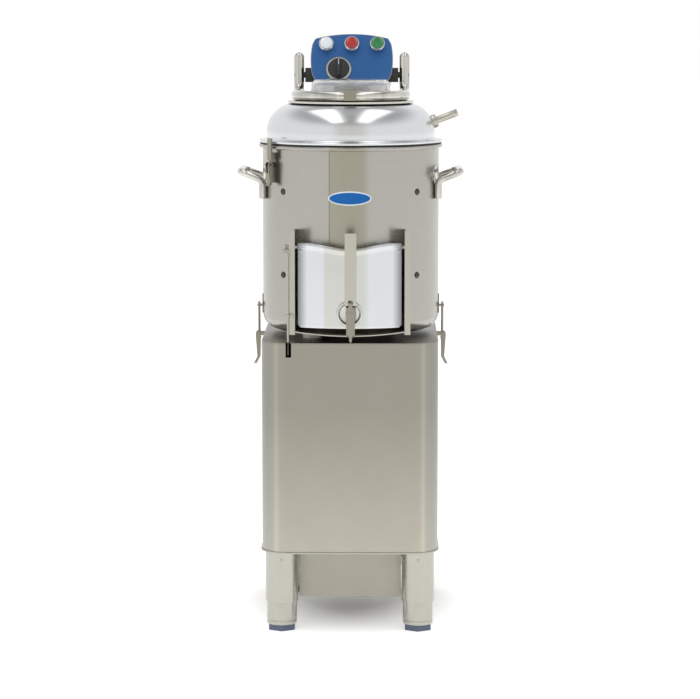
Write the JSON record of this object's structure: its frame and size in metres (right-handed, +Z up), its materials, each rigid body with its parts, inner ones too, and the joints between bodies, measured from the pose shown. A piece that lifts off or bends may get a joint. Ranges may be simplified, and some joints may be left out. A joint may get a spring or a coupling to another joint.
{
  "type": "electric potato peeler",
  "caption": "Free-standing electric potato peeler with a steel drum, tilting cover, discharge door, tilted control panel and a closed cabinet on adjustable feet.",
  "frame": {"origin": "middle of the footprint on the floor, under the drum axis", "axes": "+Z up, +Y to the back, +X to the right seen from the front"},
  "size_m": [0.435, 0.448, 1.1288],
  "materials": {
    "foot_front_left": "moulded",
    "foot_front_right": "moulded",
    "foot_rear_left": "moulded",
    "foot_rear_right": "moulded",
    "legs": "brushed",
    "stand_screws": "machined",
    "stand_plate": "brushed",
    "filter_tray": "brushed",
    "cabinet_shell": "brushed",
    "cabinet_deck": "brushed",
    "service_panel": "brushed",
    "cable_gland": "matt",
    "drain_pipe": "brushed",
    "drum_shell": "brushed",
    "liner_panels": "abrasive grit in resin",
    "liner_bolts": "machined",
    "badge_plate": "enamel",
    "carry_handles": "polished",
    "bearing_housing": "machined",
    "bearings": "ground",
    "drive_shaft": "machined",
    "drive_pulley": "machined",
    "abrasive_plate": "polished",
    "plate_grit": "abrasive grit in resin",
    "plate_nut": "machined",
    "motor_plate": "machined",
    "motor_housing": "painted",
    "motor_pulley": "machined",
    "drive_belt": "matt",
    "chute_frame": "brushed",
    "discharge_door": "polished",
    "door_pins": "satin",
    "door_link": "machined",
    "door_lever": "satin",
    "switch_rod": "machined",
    "rod_guide": "machined",
    "door_switch": "moulded",
    "cover_bowl": "polished",
    "cover_gasket": "matt",
    "window_frame": "polished",
    "window": "clear",
    "cover_bail": "polished",
    "water_inlet": "satin",
    "hinge_blocks": "moulded",
    "control_column": "brushed",
    "control_housing": "brushed",
    "control_panel": "painted",
    "control_rings": "bright",
    "pilot_lamp": "lens",
    "stop_button": "gloss",
    "start_button": "gloss",
    "timer_knob": "moulded",
    "latch_brackets": "satin",
    "latch_keepers": "satin",
    "cover_latch_lever": "satin",
    "cover_latch_hook": "satin",
    "left_latch_lever": "satin",
    "left_draw_rod": "satin",
    "right_latch_lever": "satin",
    "right_draw_rod": "satin"
  },
  "bodies": {
    "machine": {"legs": "legs", "stand_screws": "stand_screws", "stand_plate": "stand_plate", "cabinet_shell": "cabinet_shell", "cabinet_deck": "cabinet_deck", "service_panel": "service_panel", "cable_gland": "cable_gland", "drain_pipe": "drain_pipe", "drum_shell": "drum_shell", "liner_panels": "liner_panels", "liner_bolts": "liner_bolts", "badge_plate": "badge_plate", "carry_handles": "carry_handles", "bearing_housing": "bearing_housing", "bearings": "bearings", "motor_plate": "motor_plate", "motor_housing": "motor_housing", "drive_belt": "drive_belt", "chute_frame": "chute_frame", "rod_guide": "rod_guide", "door_switch": "door_switch", "hinge_blocks": "hinge_blocks", "control_column": "control_column", "control_housing": "control_housing", "control_panel": "control_panel", "control_rings": "control_rings", "pilot_lamp": "pilot_lamp", "latch_brackets": "latch_brackets", "latch_keepers": "latch_keepers"},
    "cover": {"cover_bowl": "cover_bowl", "cover_gasket": "cover_gasket", "window_frame": "window_frame", "window": "window", "cover_bail": "cover_bail", "water_inlet": "water_inlet"},
    "door": {"discharge_door": "discharge_door", "door_pins": "door_pins", "door_link": "door_link"},
    "door_handle": {"door_lever": "door_lever"},
    "rod": {"switch_rod": "switch_rod"},
    "tray": {"filter_tray": "filter_tray"},
    "foot_a": {"foot_front_left": "foot_front_left"},
    "foot_b": {"foot_front_right": "foot_front_right"},
    "foot_c": {"foot_rear_left": "foot_rear_left"},
    "foot_d": {"foot_rear_right": "foot_rear_right"},
    "plate": {"drive_shaft": "drive_shaft", "drive_pulley": "drive_pulley", "abrasive_plate": "abrasive_plate", "plate_grit": "plate_grit", "plate_nut": "plate_nut"},
    "motor": {"motor_pulley": "motor_pulley"},
    "stop": {"stop_button": "stop_button"},
    "start": {"start_button": "start_button"},
    "knob": {"timer_knob": "timer_knob"},
    "cover_toggle": {"cover_latch_lever": "cover_latch_lever"},
    "cover_hook": {"cover_latch_hook": "cover_latch_hook"},
    "left_toggle": {"left_latch_lever": "left_latch_lever"},
    "left_draw": {"left_draw_rod": "left_draw_rod"},
    "right_toggle": {"right_latch_lever": "right_latch_lever"},
    "right_draw": {"right_draw_rod": "right_draw_rod"}
  },
  "joints": [
    {"name": "cover_tilt", "type": "hinge", "parent": "machine", "child": "cover", "pos_m": [0, 0.186, 1.048], "axis": [-1, 0, 0], "range_deg": [0, 90]},
    {"name": "cover_latch_turn", "type": "hinge", "parent": "machine", "child": "cover_toggle", "pos_m": [-0.1539, -0.09994, 0.885], "axis": [-0.5446, 0.8387, 0], "range_deg": [0, 110]},
    {"name": "cover_hook_turn", "type": "hinge", "parent": "cover_toggle", "child": "cover_hook", "pos_m": [-0.15222, -0.09885, 0.877], "axis": [-0.5446, 0.8387, 0], "range_deg": [-110, 0]},
    {"name": "left_latch_turn", "type": "hinge", "parent": "machine", "child": "left_toggle", "pos_m": [-0.18, 0, 0.552], "axis": [0, 1, 0], "range_deg": [0, 110]},
    {"name": "left_rod_turn", "type": "hinge", "parent": "left_toggle", "child": "left_draw", "pos_m": [-0.178, 0, 0.544], "axis": [0, 1, 0], "range_deg": [-110, 0]},
    {"name": "right_latch_turn", "type": "hinge", "parent": "machine", "child": "right_toggle", "pos_m": [0.18, 0, 0.552], "axis": [0, -1, 0], "range_deg": [0, 110]},
    {"name": "right_rod_turn", "type": "hinge", "parent": "right_toggle", "child": "right_draw", "pos_m": [0.178, 0, 0.544], "axis": [0, -1, 0], "range_deg": [-110, 0]},
    {"name": "door_hinge", "type": "hinge", "parent": "machine", "child": "door", "pos_m": [0, -0.1695, 0.735], "axis": [-1, 0, 0], "range_deg": [0, 55]},
    {"name": "door_handle_turn", "type": "hinge", "parent": "door", "child": "door_handle", "pos_m": [0.002, -0.219, 0.633], "axis": [1, 0, 0], "range_deg": [0, 75]},
    {"name": "switch_rod_lift", "type": "slide", "parent": "machine", "child": "rod", "axis": [0, 0, 1], "range_m": [0, 0.0106]},
    {"name": "tray_slide", "type": "slide", "parent": "machine", "child": "tray", "axis": [0, -1, 0], "range_m": [0, 0.22]},
    {"name": "foot_front_left_screw", "type": "slide", "parent": "machine", "child": "foot_a", "axis": [0, 0, -1], "range_m": [0, 0.02]},
    {"name": "foot_front_right_screw", "type": "slide", "parent": "machine", "child": "foot_b", "axis": [0, 0, -1], "range_m": [0, 0.02]},
    {"name": "foot_rear_left_screw", "type": "slide", "parent": "machine", "child": "foot_c", "axis": [0, 0, -1], "range_m": [0, 0.02]},
    {"name": "foot_rear_right_screw", "type": "slide", "parent": "machine", "child": "foot_d", "axis": [0, 0, -1], "range_m": [0, 0.02]},
    {"name": "stop_press", "type": "slide", "parent": "machine", "child": "stop", "axis": [0, 0.9272, -0.3746], "range_m": [0, 0.004], "stiffness_N_per_m": 300},
    {"name": "start_press", "type": "slide", "parent": "machine", "child": "start", "axis": [0, 0.9272, -0.3746], "range_m": [0, 0.004], "stiffness_N_per_m": 300},
    {"name": "timer_turn", "type": "hinge", "parent": "machine", "child": "knob", "pos_m": [-0.026, 0.1763, 1.059], "axis": [0, 0.9272, -0.3746], "range_deg": [0, 270]},
    {"name": "plate_spin", "type": "hinge", "parent": "machine", "child": "plate", "pos_m": [0, 0, 0.5], "axis": [0, 0, 1], "continuous": true},
    {"name": "motor_spin", "type": "hinge", "parent": "machine", "child": "motor", "pos_m": [0, 0.145, 0.45], "axis": [0, 0, 1], "continuous": true}
  ],
  "couplings": [
    {"joint": "cover_hook_turn", "follows": "cover_latch_turn", "ratio": -1},
    {"joint": "left_rod_turn", "follows": "left_latch_turn", "ratio": -1},
    {"joint": "right_rod_turn", "follows": "right_latch_turn", "ratio": -1},
    {"joint": "switch_rod_lift", "follows": "door_hinge", "m_per_rad": 0.0109},
    {"joint": "motor_spin", "follows": "plate_spin", "ratio": 4}
  ]
}
